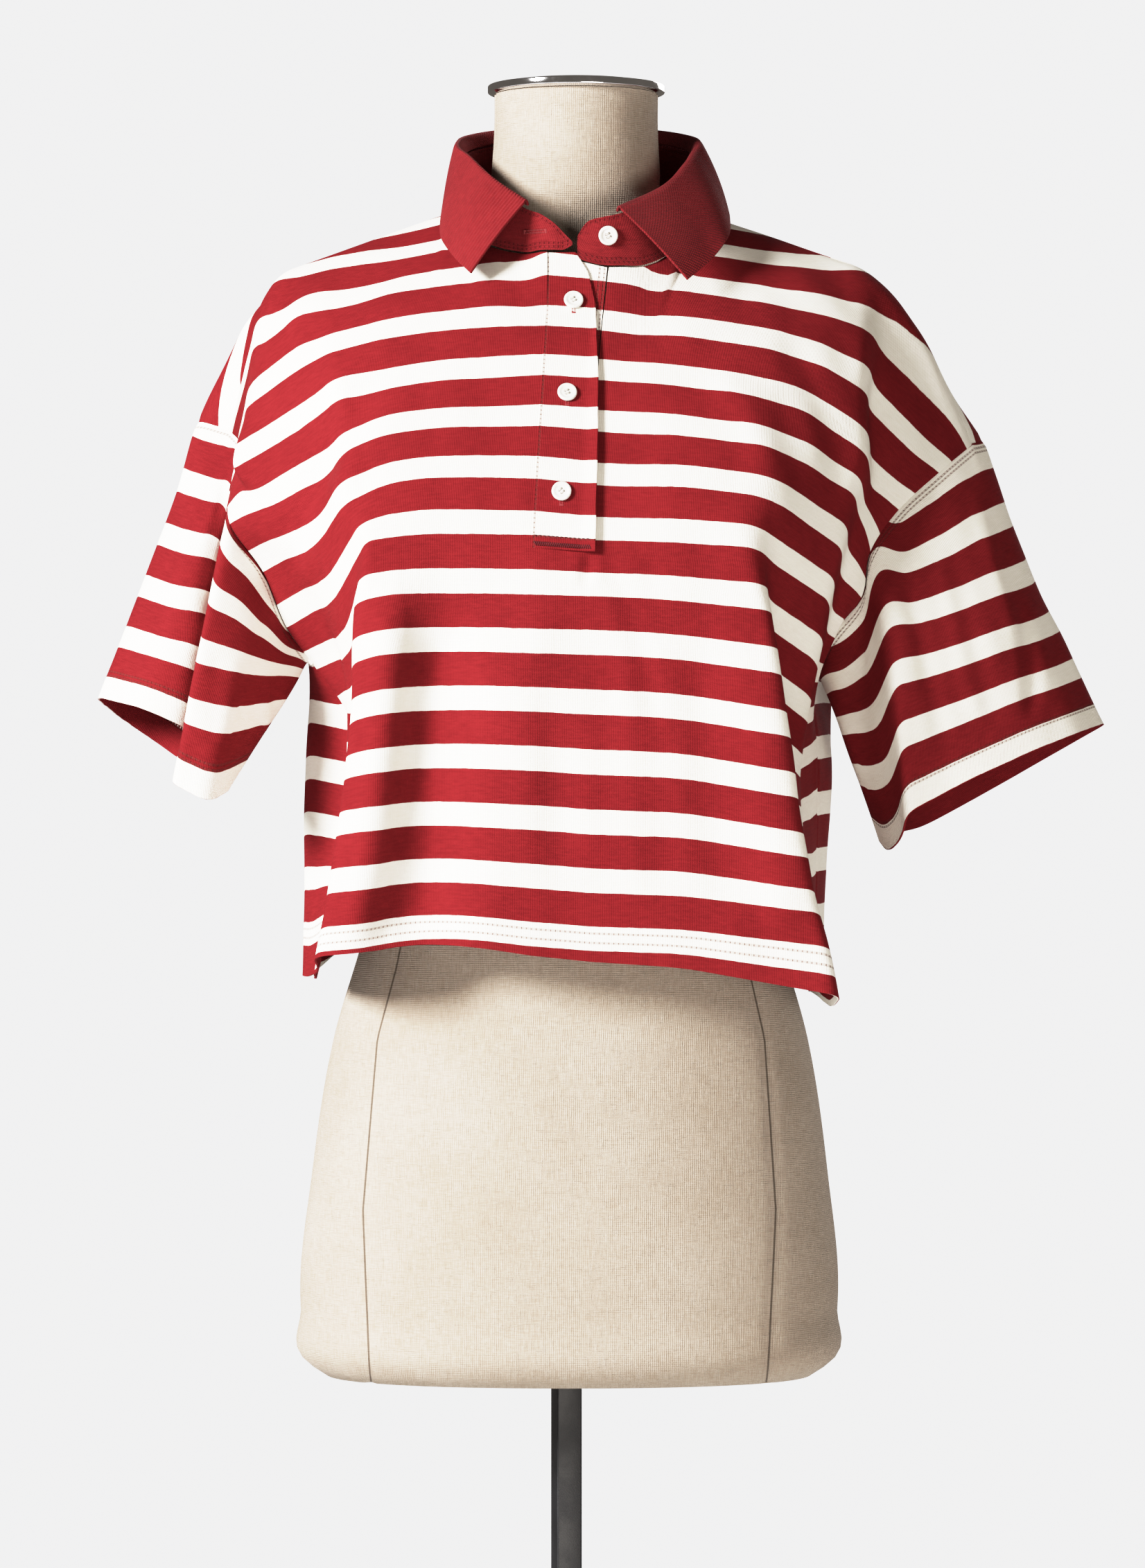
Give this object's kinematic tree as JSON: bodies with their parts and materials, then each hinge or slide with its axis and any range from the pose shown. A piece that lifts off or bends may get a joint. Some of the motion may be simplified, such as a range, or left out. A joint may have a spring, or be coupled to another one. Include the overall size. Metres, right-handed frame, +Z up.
{
  "type": "polo shirt on a dress form",
  "caption": "Striped short-sleeved polo shirt with a turned-down collar and buttoned placket, worn by a limbless dress form on a square pole and round base.",
  "frame": {"origin": "centre of the base plate's underside, on the floor", "axes": "+Z up; the shirt's front faces -Y; +X is the right of the picture, the wearer's left"},
  "size_m": [0.6657, 0.36, 1.4993],
  "materials": {
    "striped_knit": "matte jersey, burgundy and cream stripes",
    "rib_knit": "matte rib",
    "pearl_button": "pearly",
    "linen": "natural linen weave",
    "chrome": "polished",
    "charcoal_paint": "satin"
  },
  "bodies": {
    "root": {"front": "striped_knit", "back": "striped_knit", "sleeve_left": "striped_knit", "sleeve_right": "striped_knit", "placket_top": "striped_knit", "placket_under": "striped_knit", "collar_stand": "rib_knit", "collar_leaf": "rib_knit", "button_stand": "pearl_button", "button_top": "pearl_button", "button_middle": "pearl_button", "button_bottom": "pearl_button", "dress_form": "linen", "neck_cap": "chrome", "pole": "charcoal_paint", "base_plate": "charcoal_paint"}
  },
  "joints": []
}
